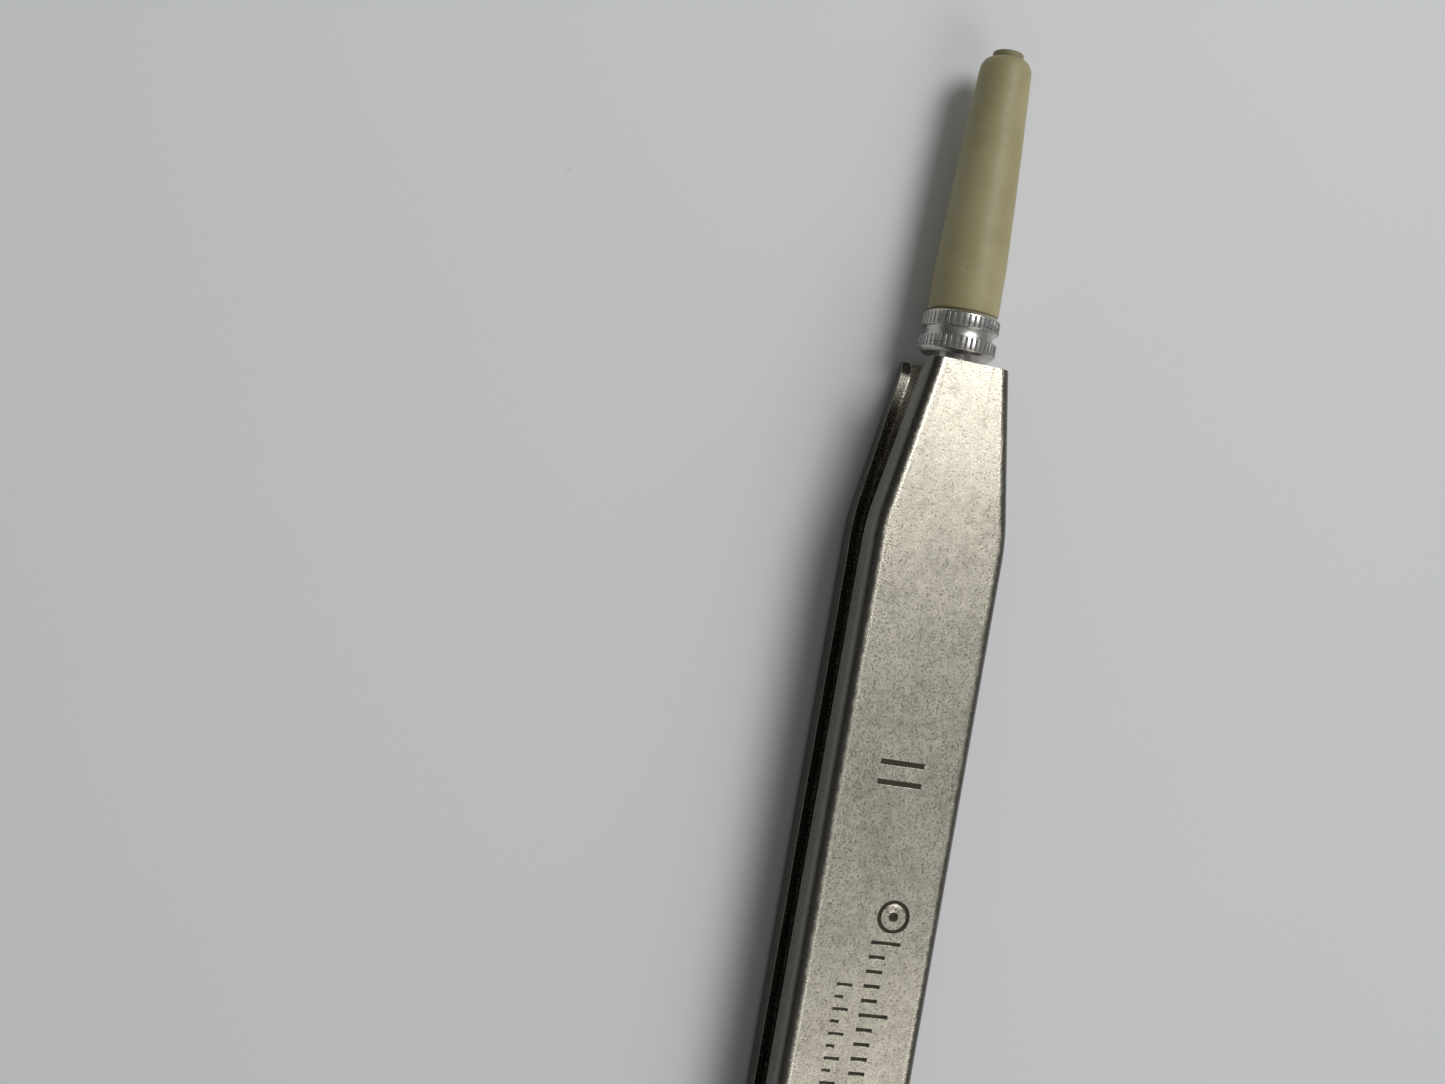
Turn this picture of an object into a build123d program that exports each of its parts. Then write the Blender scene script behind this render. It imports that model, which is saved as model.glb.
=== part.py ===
from build123d import *
import os
from math import asin, degrees, hypot, sqrt

# Squeeze-type watch hand lifter. X runs along the tool to the nose tip, Y across it, Z up.
# The origin is on the resting plane, under the middle of the tool. Lengths in millimetres.

# Overall
overall_length = 118.0
arm_width = 9.2
arm_sheet = 0.7
arm_bend_radius = 0.8
arm_wall_height = 2.25
arm_slot = 2.4

# Places along the tool
hinge_from_tail = 7.0
arm_front_from_tip = 21.0
taper_length = 11.0
lug_from_taper = 3.0
arm_front_width = 5.4
arm_front_wall = 1.65
arm_front_nick = 0.7
arm_front_slant = 1.2
arm_corner_radius = 14.0
arm_wall_ramp = 3.0
rear_ear_slant = 2.2

# Hinge end
hinge_pin_radius = 0.7
hinge_pin_lift = 1.75
ear_drop = 0.6
ear_length = 13.0
tail_block_length = 8.0
tail_block_setback = 3.0
tail_block_clearance = 0.35
spine_pocket_depth = 5.0
spine_rivet_radius = 0.6

# Spine
spine_thickness = 1.8
prong_width = 0.7
window_gap = 0.15
window_behind_pin = 3.65
prong_grip = 3.5

# Link mechanism
link_length = 2.1
link_face_gap = 0.15
link_eye_radius = 0.85
link_thickness = 0.9
link_pin_radius = 0.45
slider_pin_radius = 0.5
link_slack = 0.12
tongue_thickness = 0.9
tongue_height = 1.1
tongue_length = 3.4
lug_sheet = 0.5
lug_length = 4.2
lug_reach = 1.6
lug_eye_radius = 0.75
lug_eye_step = 0.5
pin_head = 0.15
pin_head_radius = 0.6

# Slider, neck and claws
rod_radius = 0.75
block_from_lug = 3.5
block_length = 6.0
block_wall = 0.35
tube_wall = 0.3
tube_bore_gap = 0.15
tube_seat = 3.5
tube_front_from_tip = 7.0
rod_past_block = 2.5
tenon_length = 2.0
claw_thickness = 0.35
claw_width = 0.9
claw_gap = 0.3
claw_hook = 0.4
claw_relief = 0.17
claw_relief_length = 0.9
claw_recess = 0.1
claw_rivet_radius = 0.25

# Nose
ferrule_length = 2.9
ferrule_radius = 2.5
ferrule_gap = 0.6
ferrule_groove_width = 0.6
ferrule_groove_depth = 0.25
nose_base_radius = 2.35
nose_taper_length = 13.5
nose_shoulder_radius = 1.72
nose_shoulder_length = 0.95
nose_lip_wall = 0.3
nose_lip_length = 0.42
nose_lip_undercut = 0.05
claw_bore_gap = 0.0473

# Return springs
spring_sheet = 0.3
spring_width = 3.6
spring_seat_from_tail = 25.0
spring_seat_length = 8.0
spring_tip_from_lug = 20.0
spring_rivet_radius = 0.5
spring_rivet_head = 0.4
spring_rivet_head_radius = 0.85
spring_rest_gap = 0.08

# Stamped marks on the upper face
mark_depth = 0.09
size_bar_x = 10.6
size_bar_spacing = 1.3
size_bar_tall = 3.0
size_bar_wide = 0.38
ring_x = 2.05
ring_y = -1.2
ring_radius = 1.1
ring_stroke = 0.26
ring_dot_radius = 0.32
scale_x = 0.3
scale_y = -1.0
scale_pitch = 0.95
scale_count = 21
scale_tall = 2.0
scale_wide = 0.27
small_scale_x = -2.6
small_scale_y = 1.3
small_scale_pitch = 0.8
small_scale_count = 16
small_scale_tall = 1.05
small_scale_wide = 0.23

# Fits
running = 0.03
slide_fit = 0.04
side_gap = 0.05

# Worked out
height = 2 * arm_wall_height + arm_slot
axis_z = height / 2
tip_x = overall_length / 2
tail_x = -overall_length / 2
hinge_x = tail_x + hinge_from_tail
arm_front_x = tip_x - arm_front_from_tip
taper_start_x = arm_front_x - taper_length
lug_x = taper_start_x - lug_from_taper
face_lift = axis_z - arm_sheet
link_pin_lift = face_lift - link_eye_radius - link_face_gap
link_reach = sqrt(link_length**2 - link_pin_lift**2)
slider_pin_x = lug_x - link_reach
link_inner_y = tongue_thickness / 2 + side_gap
link_outer_y = link_inner_y + link_thickness
lug_y = link_outer_y + 2 * side_gap
window_half_width = lug_y + lug_sheet + pin_head + window_gap
spine_width = 2 * (window_half_width + prong_width)
block_rear_x = lug_x + block_from_lug
block_front_x = block_rear_x + block_length
prong_front_x = block_rear_x + prong_grip
tube_bore_radius = rod_radius + tube_bore_gap
tube_radius = tube_bore_radius + tube_wall
tube_front_x = tip_x - tube_front_from_tip
block_half_height = tube_radius + block_wall
rod_front_x = block_front_x + rod_past_block
rod_rear_x = slider_pin_x + tongue_length
ferrule_rear_x = arm_front_x + ferrule_gap
nose_rear_x = ferrule_rear_x + ferrule_length
claw_bore_radius = hypot(claw_width / 2, claw_gap / 2 + claw_thickness) + claw_bore_gap
nose_lip_radius = claw_bore_radius + nose_lip_wall
spring_seat_x = tail_x + spring_seat_from_tail
spring_tip_x = lug_x - spring_tip_from_lug


def box_between(low, high):
    size = [b - a for a, b in zip(low, high)]
    middle = [(a + b) / 2 for a, b in zip(low, high)]
    return Pos(*middle) * Box(*size)


def across(radius, x, z, y_low, y_high):
    """A round bar across the tool, from y_low to y_high."""
    bar = Cylinder(radius, y_high - y_low)
    return Pos(x, (y_low + y_high) / 2, z) * Rot(90, 0, 0) * bar


def along(radius, x_low, x_high):
    """A round bar on the tool's axis."""
    bar = Cylinder(radius, x_high - x_low)
    return Pos((x_low + x_high) / 2, 0, axis_z) * Rot(0, 90, 0) * bar


def upright(radius, x, y, z_low, z_high):
    """A round bar standing along Z."""
    return Pos(x, y, (z_low + z_high) / 2) * Cylinder(radius, z_high - z_low)


def side_plate(points, y_low, y_high):
    """A flat outline of x, z points, made as thick as y_low to y_high."""
    outline = make_face(Polyline([(x, 0, z) for x, z in points], close=True))
    return Pos(0, y_low, 0) * extrude(outline, amount=y_high - y_low, dir=(0, 1, 0))


def flipped(shape):
    """The same piece turned to the other side of the tool's middle plane."""
    return mirror(shape, about=Plane.XY.offset(axis_z))


def half_turned(shape):
    """The same piece turned half a turn about the tool's axis."""
    return Pos(0, 0, axis_z) * Rot(180, 0, 0) * Pos(0, 0, -axis_z) * shape


def arm_plan(inset, past_ends):
    """The arm's outline from above, drawn in by inset and run on past both ends."""
    wide = arm_width / 2 - inset
    narrow = arm_front_width / 2 - inset
    slope = (wide - narrow) / (arm_front_x - taper_start_x)
    front = narrow - slope * past_ends
    rear_x, front_x = tail_x - past_ends, arm_front_x + past_ends
    points = [
        (rear_x, -wide),
        (taper_start_x, -wide),
        (front_x, -front),
        (front_x, front),
        (taper_start_x, wide),
        (rear_x, wide),
    ]
    plan = make_face(Polyline([(x, y, 0) for x, y in points], close=True))
    corners = [v for v in plan.vertices() if abs(v.X - taper_start_x) < 0.01]
    return fillet(corners, arm_corner_radius)


def arm_side():
    """The arm's outline from the side: deep ears at the hinge, shallow walls in front."""
    wall_z = height - arm_wall_height
    ear_z = wall_z - ear_drop
    ear_front = tail_x + ear_length
    points = [
        (tail_x, height),
        (tail_x, height - arm_bend_radius),
        (tail_x + rear_ear_slant, ear_z),
        (ear_front, ear_z),
        (ear_front + arm_wall_ramp, wall_z),
        (taper_start_x - arm_wall_ramp, wall_z),
        (arm_front_x - arm_front_slant, height - arm_front_wall),
        (arm_front_x, height - arm_front_wall + arm_front_nick),
        (arm_front_x, height),
    ]
    return side_plate(points, -arm_width, arm_width)


def arm_shell():
    """One folded sheet arm, face up, with open ends."""
    low = axis_z
    outer = Pos(0, 0, low) * extrude(arm_plan(0, 0), amount=height - low)
    ends = (tail_x, arm_front_x)
    rim = [
        e
        for e in outer.faces().sort_by(Axis.Z)[-1].edges()
        if min(abs(e.center().X - x) for x in ends) > 0.01
    ]
    outer = fillet(rim, arm_bend_radius)
    inside = Pos(0, 0, low - 1) * extrude(arm_plan(arm_sheet, 1.0), amount=face_lift + 1)
    shell = (outer & arm_side()) - inside
    hole = across(hinge_pin_radius + running, hinge_x, axis_z + hinge_pin_lift, -arm_width, arm_width)
    return shell - hole


def tick_row(x_first, y, pitch, count, every, tall, wide):
    """A row of plain stamped ticks on one base line, long at every so many and short between."""
    base_y = y + tall / 2
    ticks = []
    for n in range(count):
        length = tall if n % every == 0 else tall * 0.55
        x = x_first - n * pitch
        ticks.append(box_between((x - wide / 2, base_y - length, height - mark_depth),
                                 (x + wide / 2, base_y, height + 1)))
    return ticks


def stamped_marks():
    """Plain stamped marks: two size bars, a ring with a dot, and two rows of ticks."""
    low, high = height - mark_depth, height + 1
    ring = upright(ring_radius, ring_x, ring_y, low, high)
    cuts = [
        ring - upright(ring_radius - ring_stroke, ring_x, ring_y, low, high),
        upright(ring_dot_radius, ring_x, ring_y, low, high),
    ]
    cuts += tick_row(size_bar_x + size_bar_spacing, 0, size_bar_spacing, 2, 1, size_bar_tall, size_bar_wide)
    cuts += tick_row(scale_x, scale_y, scale_pitch, scale_count, 5, scale_tall, scale_wide)
    cuts += tick_row(small_scale_x, small_scale_y, small_scale_pitch, small_scale_count, 2,
                     small_scale_tall, small_scale_wide)
    return cuts


def upper_arm():
    arm = arm_shell()
    for mark in stamped_marks():
        arm = arm - mark
    return arm


def spine():
    """The middle bar, with a window for the links and two prongs that hold the guide block."""
    half = spine_width / 2
    low_z, high_z = axis_z - spine_thickness / 2, axis_z + spine_thickness / 2
    rear = tail_x + tail_block_setback + tail_block_length - spine_pocket_depth
    bar = box_between((rear, -half, low_z), (prong_front_x, half, high_z))
    window_rear = slider_pin_x - window_behind_pin
    window = box_between((window_rear, -window_half_width, low_z - 1),
                         (prong_front_x + 1, window_half_width, high_z + 1))
    bar = bar - window
    bar = bar - upright(spine_rivet_radius, spine_rivet_x(), 0, low_z - 1, high_z + 1)
    for x in spring_rivet_places():
        bar = bar - upright(spring_rivet_radius, x, 0, low_z - 1, high_z + 1)
    return bar


def spine_rivet_x():
    return tail_x + tail_block_setback + tail_block_length - spine_pocket_depth / 2


def spring_rivet_places():
    middle = spring_seat_x + spring_seat_length / 2
    return [middle - spring_seat_length / 4, middle + spring_seat_length / 4]


def tail_block():
    """The block that both arms hinge on, pocketed for the spine."""
    half_y = arm_width / 2 - arm_sheet - side_gap
    half_z = face_lift - tail_block_clearance
    rear = tail_x + tail_block_setback
    front = rear + tail_block_length
    block = box_between((rear, -half_y, axis_z - half_z), (front, half_y, axis_z + half_z))
    block = chamfer(block.edges().filter_by(Axis.Y), 0.5)
    pocket = box_between((front - spine_pocket_depth, -spine_width / 2, axis_z - spine_thickness / 2),
                         (front + 1, spine_width / 2, axis_z + spine_thickness / 2))
    block = block - pocket
    for side in (-1, 1):
        z = axis_z + side * hinge_pin_lift
        block = block - across(hinge_pin_radius, hinge_x, z, -arm_width, arm_width)
    return block - upright(spine_rivet_radius, spine_rivet_x(), 0, 0, height)


def spine_rivet():
    half = face_lift - tail_block_clearance
    return upright(spine_rivet_radius, spine_rivet_x(), 0, axis_z - half, axis_z + half)


def hinge_pin():
    pin = across(hinge_pin_radius, hinge_x, axis_z + hinge_pin_lift, -arm_width / 2, arm_width / 2)
    return chamfer(pin.edges().filter_by(GeomType.CIRCLE), 0.12)


def guide_block():
    """The block between the prongs that guides the slider and holds the neck tube."""
    half_y = window_half_width
    block = box_between((block_rear_x, -half_y, axis_z - block_half_height),
                        (block_front_x, half_y, axis_z + block_half_height))
    block = chamfer(block.edges().filter_by(Axis.X), 0.4)
    block = block - along(rod_radius + slide_fit, block_rear_x - 1, block_front_x + 1)
    return block - along(tube_radius, block_front_x - tube_seat, block_front_x + 1)


def neck_tube():
    tube = along(tube_radius, block_front_x - tube_seat, tube_front_x)
    return tube - along(tube_bore_radius, block_front_x - tube_seat - 1, tube_front_x + 1)


def nose_ferrule():
    """A turned collar with a shallow groove, behind the nose."""
    ring = along(ferrule_radius, ferrule_rear_x, nose_rear_x)
    ring = chamfer(ring.edges().filter_by(GeomType.CIRCLE), 0.25)
    middle = (ferrule_rear_x + nose_rear_x) / 2
    groove_rear, groove_front = middle - ferrule_groove_width / 2, middle + ferrule_groove_width / 2
    groove = along(ferrule_radius + 1, groove_rear, groove_front) - along(
        ferrule_radius - ferrule_groove_depth, groove_rear, groove_front)
    return ring - groove - along(tube_radius, ferrule_rear_x - 1, nose_rear_x + 1)


def nose_sleeve():
    """The moulded nose: a long taper, a round shoulder and a short lip around the claws."""
    shoulder_x = tip_x - nose_lip_length - nose_shoulder_length
    taper_rear = shoulder_x - nose_taper_length
    neck = nose_lip_radius - nose_lip_undercut
    lip_x = tip_x - nose_lip_length
    lines = [
        Line((nose_rear_x, 0), (nose_rear_x, nose_base_radius)),
        Line((nose_rear_x, nose_base_radius), (taper_rear, nose_base_radius)),
        Line((taper_rear, nose_base_radius), (shoulder_x, nose_shoulder_radius)),
        EllipticalCenterArc((shoulder_x, neck), nose_shoulder_length, nose_shoulder_radius - neck,
                            start_angle=0, arc_size=90),
        Line((lip_x, neck), (lip_x, nose_lip_radius - 0.02)),
        Line((lip_x, nose_lip_radius - 0.02), (lip_x + 0.08, nose_lip_radius)),
        Line((lip_x + 0.08, nose_lip_radius), (tip_x - 0.1, nose_lip_radius)),
        Line((tip_x - 0.1, nose_lip_radius), (tip_x, nose_lip_radius - 0.1)),
        Line((tip_x, nose_lip_radius - 0.1), (tip_x, 0)),
        Line((tip_x, 0), (nose_rear_x, 0)),
    ]
    nose = Pos(0, 0, axis_z) * revolve(make_face(Wire(lines)), axis=Axis.X)
    nose = nose - along(tube_radius, nose_rear_x - 1, tube_front_x)
    return nose - along(claw_bore_radius, nose_rear_x, tip_x + 1)


def slider_rod():
    """The slider: a flat tongue behind, a round rod in the guide, and a thin tenon for the claws."""
    rear = slider_pin_x - link_eye_radius
    tongue = box_between((rear, -tongue_thickness / 2, axis_z - tongue_height / 2),
                         (rod_rear_x + 0.5, tongue_thickness / 2, axis_z + tongue_height / 2))
    rod = tongue + along(rod_radius, rod_rear_x, rod_front_x)
    tenon = box_between((rod_front_x - 0.5, -claw_width / 2, axis_z - claw_gap / 2),
                        (rod_front_x + tenon_length, claw_width / 2, axis_z + claw_gap / 2))
    rod = rod + tenon
    rod = rod - across(slider_pin_radius, slider_pin_x, axis_z, -1, 1)
    return rod - upright(claw_rivet_radius, claw_rivet_x(), 0, 0, height)


def claw_rivet_x():
    return rod_front_x + tenon_length / 2


def slider_pin():
    reach = link_outer_y - side_gap / 2
    return across(slider_pin_radius, slider_pin_x, axis_z, -reach, reach)


def upper_claw():
    """One claw blade, with an inward hook at its end."""
    low = axis_z + claw_gap / 2
    start, end = rod_front_x + side_gap, tip_x - claw_recess
    blade = box_between((start, -claw_width / 2, low), (end, claw_width / 2, low + claw_thickness))
    relief = box_between((end - claw_hook - claw_relief_length, -1, low - 1),
                         (end - claw_hook, 1, low + claw_relief))
    return blade - relief - upright(claw_rivet_radius, claw_rivet_x(), 0, 0, height)


def claw_rivet():
    half = claw_gap / 2 + claw_thickness
    return upright(claw_rivet_radius, claw_rivet_x(), 0, axis_z - half, axis_z + half)


def lug():
    """An angle bracket under the arm's face that carries the link's outer pin."""
    top = axis_z + face_lift
    pin_z = axis_z + link_pin_lift
    half = lug_length / 2
    base = box_between((lug_x - half, lug_y, top - lug_sheet), (lug_x + half, lug_y + lug_reach, top))
    cheek = side_plate([(lug_x - half, top),
                        (lug_x - lug_eye_radius, pin_z - lug_eye_step),
                        (lug_x + lug_eye_radius, pin_z - lug_eye_step),
                        (lug_x + half, top)], lug_y, lug_y + lug_sheet)
    eye = across(lug_eye_radius, lug_x, pin_z, lug_y, lug_y + lug_sheet)
    under_face = box_between((lug_x - half, lug_y, axis_z), (lug_x + half, lug_y + lug_sheet, top))
    cheek = cheek + (eye & under_face)
    return base + cheek - across(link_pin_radius, lug_x, pin_z, lug_y - 1, lug_y + lug_sheet + 1)


def link_pin():
    """The link's outer pin, with a thin head that stops under the lug's plate."""
    pin_z = axis_z + link_pin_lift
    outer = lug_y + lug_sheet
    head = across(pin_head_radius, lug_x, pin_z, outer, outer + pin_head)
    plate = box_between((lug_x - lug_length, outer - lug_sheet, axis_z + face_lift - lug_sheet),
                        (lug_x + lug_length, outer + lug_reach, height))
    return across(link_pin_radius, lug_x, pin_z, link_inner_y, outer) + (head - plate)


def link():
    """One link, from the slider's pin to the arm's pin."""
    pin_z = axis_z + link_pin_lift
    lean = degrees(asin(link_pin_lift / link_length))
    web = Pos(link_length / 2, 0, 0) * Box(link_length, link_thickness, 2 * link_eye_radius)
    middle_y = (link_inner_y + link_outer_y) / 2
    plate = Pos(slider_pin_x, middle_y, axis_z) * Rot(0, -lean, 0) * web
    for x, z in ((slider_pin_x, axis_z), (lug_x, pin_z)):
        plate = plate + across(link_eye_radius, x, z, link_inner_y, link_outer_y)
    plate = plate - across(slider_pin_radius + running, slider_pin_x, axis_z, 0, 2)
    return plate - across(link_pin_radius + link_slack, lug_x, pin_z, 0, 2)


def return_spring():
    """A bowed leaf, riveted to the spine, that pushes the arm open."""
    seat_z = axis_z + spine_thickness / 2
    touch_z = axis_z + face_lift - spring_rest_gap
    rise_x = spring_seat_x + spring_seat_length
    path = Line((spring_seat_x, 0, seat_z + spring_sheet / 2), (rise_x, 0, seat_z + spring_sheet / 2))
    bow = Spline([(rise_x, 0, seat_z + spring_sheet / 2), (spring_tip_x, 0, touch_z - spring_sheet / 2)],
                 tangents=[(1, 0, 0), (1, 0, 0)])
    section = Plane(origin=(spring_seat_x, 0, seat_z + spring_sheet / 2), x_dir=(0, 1, 0), z_dir=(1, 0, 0))
    leaf = sweep(section * Rectangle(spring_width, spring_sheet), path=Wire([path, bow]))
    for x in spring_rivet_places():
        leaf = leaf - upright(spring_rivet_radius, x, 0, 0, height)
    return leaf


def spring_rivets():
    half = spine_thickness / 2 + spring_sheet
    rivets = []
    for x in spring_rivet_places():
        rivet = upright(spring_rivet_radius, x, 0, axis_z - half, axis_z + half)
        for side in (-1, 1):
            ends = sorted((axis_z + side * half, axis_z + side * (half + spring_rivet_head)))
            head = upright(spring_rivet_head_radius, x, 0, *ends)
            rim = head.edges().filter_by(GeomType.CIRCLE).sort_by(Axis.Z)[1 if side > 0 else 0]
            rivet = rivet + chamfer(rim, 0.15)
        rivets.append(rivet)
    return Compound(children=rivets)


parts = {
    "spine": spine(),
    "tail_block": tail_block(),
    "spine_rivet": spine_rivet(),
    "upper_hinge_pin": hinge_pin(),
    "lower_hinge_pin": flipped(hinge_pin()),
    "guide_block": guide_block(),
    "neck_tube": neck_tube(),
    "nose_ferrule": nose_ferrule(),
    "nose_sleeve": nose_sleeve(),
    "upper_spring": return_spring(),
    "lower_spring": flipped(return_spring()),
    "spring_rivets": spring_rivets(),
    "upper_arm": upper_arm(),
    "upper_lug": lug(),
    "upper_link_pin": link_pin(),
    "lower_arm": flipped(arm_shell()),
    "lower_lug": half_turned(lug()),
    "lower_link_pin": half_turned(link_pin()),
    "slider_rod": slider_rod(),
    "slider_pin": slider_pin(),
    "upper_claw": upper_claw(),
    "lower_claw": flipped(upper_claw()),
    "claw_rivet": claw_rivet(),
    "upper_link": link(),
    "lower_link": half_turned(link()),
}

os.makedirs("parts", exist_ok=True)
for name, shape in parts.items():
    export_step(shape, f"parts/{name}.step")
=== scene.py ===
"""Looks for a squeeze-type watch hand lifter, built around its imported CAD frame."""

import math

import bmesh
import bpy
from mathutils import Euler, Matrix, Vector, noise


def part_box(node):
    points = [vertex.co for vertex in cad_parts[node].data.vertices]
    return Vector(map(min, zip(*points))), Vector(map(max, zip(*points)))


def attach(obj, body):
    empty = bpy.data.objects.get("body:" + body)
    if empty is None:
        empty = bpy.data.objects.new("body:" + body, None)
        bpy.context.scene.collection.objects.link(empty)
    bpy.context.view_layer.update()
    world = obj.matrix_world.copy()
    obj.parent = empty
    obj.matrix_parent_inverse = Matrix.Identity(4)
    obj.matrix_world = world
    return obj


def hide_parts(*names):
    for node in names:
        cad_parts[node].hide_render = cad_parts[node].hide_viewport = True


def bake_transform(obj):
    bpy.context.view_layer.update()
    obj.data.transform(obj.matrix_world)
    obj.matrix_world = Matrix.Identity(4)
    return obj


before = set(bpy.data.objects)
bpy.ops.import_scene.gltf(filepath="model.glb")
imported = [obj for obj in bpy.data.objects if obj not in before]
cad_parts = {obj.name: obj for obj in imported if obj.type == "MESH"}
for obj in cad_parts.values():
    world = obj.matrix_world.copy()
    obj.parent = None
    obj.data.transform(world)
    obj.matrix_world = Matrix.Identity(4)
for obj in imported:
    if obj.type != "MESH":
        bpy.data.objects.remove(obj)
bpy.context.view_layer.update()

bl_info = {
    "name": "Watch Hand Lifter Looks",
    "version": (1, 0, 0),
    "blender": (4, 5, 0),
    "location": "3D View > Sidebar > Hand Lifter",
    "description": "Finishes the pieces of a squeeze-type watch hand lifter "
                   "and lights it on a pale table",
    "category": "Object",
}

MM = 0.001
AXIS_Z = sum(p.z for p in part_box("neck_tube")) / 2
FACE_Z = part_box("upper_arm")[1].z
ARM_HALF_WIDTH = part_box("upper_arm")[1].y
ARM_FRONT_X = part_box("upper_arm")[1].x

# These repeat sizes of the CAD source, so that the painted shade on the bends and the painted
# highlight along the ridges find the arms' bends.
ARM_TAPER_LENGTH = 11.0 * MM
ARM_FRONT_HALF_WIDTH = 2.7 * MM
BEND_RADIUS = 0.8 * MM

# Each leaf spring is riveted to the spine for its first 8 mm, and in the real tool its free end
# follows an arm; here a leaf is kept on no body and is not bent.
LEAF_ARMS = {"upper_spring": "upper_arm", "lower_spring": "lower_arm"}

# How a CAD node's mesh is cleaned, and how its edges are broken.
MERGE_DISTANCE = 0.0005 * MM
FLAT_ANGLE = math.radians(0.4)
EDGE_ANGLE = math.radians(34)
EDGE_SEGMENTS = 2
FLAT_NORMAL_WEIGHT = 100

# The moulded nose's small rounds and steps.
NOSE_SEAT_EASE = 0.03 * MM
NOSE_REAR_ROUND = 0.16 * MM
NOSE_TAPER_STEPS = 26
NOSE_CROWN = 0.035 * MM
NOSE_SMOOTH_ANGLE = math.radians(48)
LIP_UNDERCUT = 0.05 * MM
LIP_ROUND = 0.09 * MM
BORE_ROUND = 0.06 * MM
SEAM_SHARPNESS = 26
SKIN_WAVE = 0.008 * MM

# The stage. Lights are size, place; the room is lit from where ROOM_LEAN points.
TABLE_REACH = 0.7
TABLE_CELLS = 8
TABLE_DROP = 0.01 * MM
KEY_SIZE, KEY_PLACE = 0.30, (0.27, -0.19, 0.50)
TAIL_SIZE, TAIL_PLACE = 0.36, (-0.37, -0.29, 0.46)
LIGHT_AIM = Vector((0.01, 0.0, 0.0))
ROOM_LEAN = (-0.25, -0.60, 0.75)
ROOM_COLOUR = (0.95, 0.98, 1.0, 1.0)
ROOM_DARK, ROOM_LIGHT = 0.07, 0.29
SENSOR_WIDTH = 36.0
CLIP_NEAR, CLIP_FAR = 0.005, 10.0

# A speck cell holds a speck if its random colour passes this.
SPECK_THRESHOLD = 0.72

# The CAD nodes that get broken edges: node, the piece's name, finish, edge width in mm, body.
MACHINED = (
    ("upper_arm", "upper_arm_sheet", "marked_sheet_steel", 0.02, "upper_arm"),
    ("lower_arm", "lower_arm_sheet", "plain_sheet_steel", 0.045, "lower_arm"),
    ("spine", "spine_bar", "milled_steel", 0.06, "frame"),
    ("tail_block", "hinge_block", "milled_steel", 0.06, "frame"),
    ("guide_block", "slider_guide", "milled_steel", 0.05, "frame"),
    ("upper_hinge_pin", "upper_hinge_rivet", "polished_pin", 0.03, "frame"),
    ("lower_hinge_pin", "lower_hinge_rivet", "polished_pin", 0.03, "frame"),
    ("spine_rivet", "block_rivet", "polished_pin", 0.03, "frame"),
    ("neck_tube", "neck_barrel", "lathe_turned_steel", 0.03, "frame"),
    ("nose_ferrule", "ferrule_ring", "lathe_turned_steel", 0.04, "frame"),
    ("spring_rivets", "leaf_rivets", "polished_pin", 0.03, "frame"),
    ("upper_spring", "upper_leaf", "spring_leaf", 0.03, "frame"),
    ("lower_spring", "lower_leaf", "spring_leaf", 0.03, "frame"),
    ("upper_lug", "upper_link_lug", "milled_steel", 0.03, "upper_arm"),
    ("lower_lug", "lower_link_lug", "milled_steel", 0.03, "lower_arm"),
    ("upper_link_pin", "upper_link_stud", "polished_pin", 0.02, "upper_arm"),
    ("lower_link_pin", "lower_link_stud", "polished_pin", 0.02, "lower_arm"),
    ("upper_link", "upper_toggle", "milled_steel", 0.03, "upper_link"),
    ("lower_link", "lower_toggle", "milled_steel", 0.03, "lower_link"),
    ("slider_rod", "slider_bar", "lathe_turned_steel", 0.03, "slider"),
    ("slider_pin", "slider_stud", "polished_pin", 0.02, "slider"),
    ("upper_claw", "upper_claw_blade", "spring_leaf", 0.02, "slider"),
    ("lower_claw", "lower_claw_blade", "spring_leaf", 0.02, "slider"),
    ("claw_rivet", "claw_stud", "polished_pin", 0.02, "slider"),
)


# ---------------------------------------------------------------- settings


class LifterFinish(bpy.types.PropertyGroup):
    steel_colour: bpy.props.FloatVectorProperty(
        name="Steel colour", description="Colour of the stamped stainless sheet",
        subtype="COLOR", size=3, min=0, max=1, default=(0.53, 0.49, 0.41))
    patina_colour: bpy.props.FloatVectorProperty(
        name="Patina colour", description="Colour of the dirt held in the stamped marks",
        subtype="COLOR", size=3, min=0, max=1, default=(0.06, 0.052, 0.04))
    cream_colour: bpy.props.FloatVectorProperty(
        name="Cream colour", description="Colour of the moulded nose",
        subtype="COLOR", size=3, min=0, max=1, default=(0.40, 0.35, 0.18))
    table_colour: bpy.props.FloatVectorProperty(
        name="Table colour", description="Colour of the pale table",
        subtype="COLOR", size=3, min=0, max=1, default=(0.76, 0.77, 0.775))


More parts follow.
